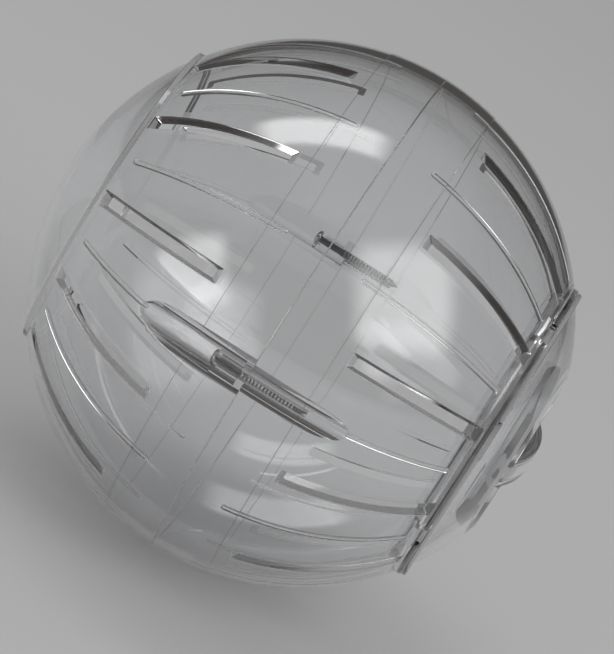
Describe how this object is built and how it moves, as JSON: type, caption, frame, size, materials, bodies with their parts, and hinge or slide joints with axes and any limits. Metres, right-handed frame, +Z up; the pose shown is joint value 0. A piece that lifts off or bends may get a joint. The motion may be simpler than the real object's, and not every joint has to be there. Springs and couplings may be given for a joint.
{
  "type": "hamster ball",
  "caption": "Clear exercise ball for a small pet: two slotted shells screwed together at a belt, and a round lift-off door with a dished grip.",
  "frame": {"origin": "centre of the ball", "axes": "+X along the ball's axis out through the door, the two closing screws in the XY plane at -Y and +Y, +Z up"},
  "size_m": [0.1266, 0.127, 0.127],
  "materials": {
    "clear_shell": "gloss",
    "clear_door": "gloss",
    "screw_steel": "satin"
  },
  "bodies": {
    "ball": {"closed_half": "clear_shell", "door_half": "clear_shell", "front_screw": "screw_steel", "rear_screw": "screw_steel"},
    "door": {"door": "clear_door"}
  },
  "joints": [
    {"name": "door_lift", "type": "slide", "parent": "ball", "child": "door", "axis": [1, 0, 0], "range_m": [0, 0.06]}
  ]
}
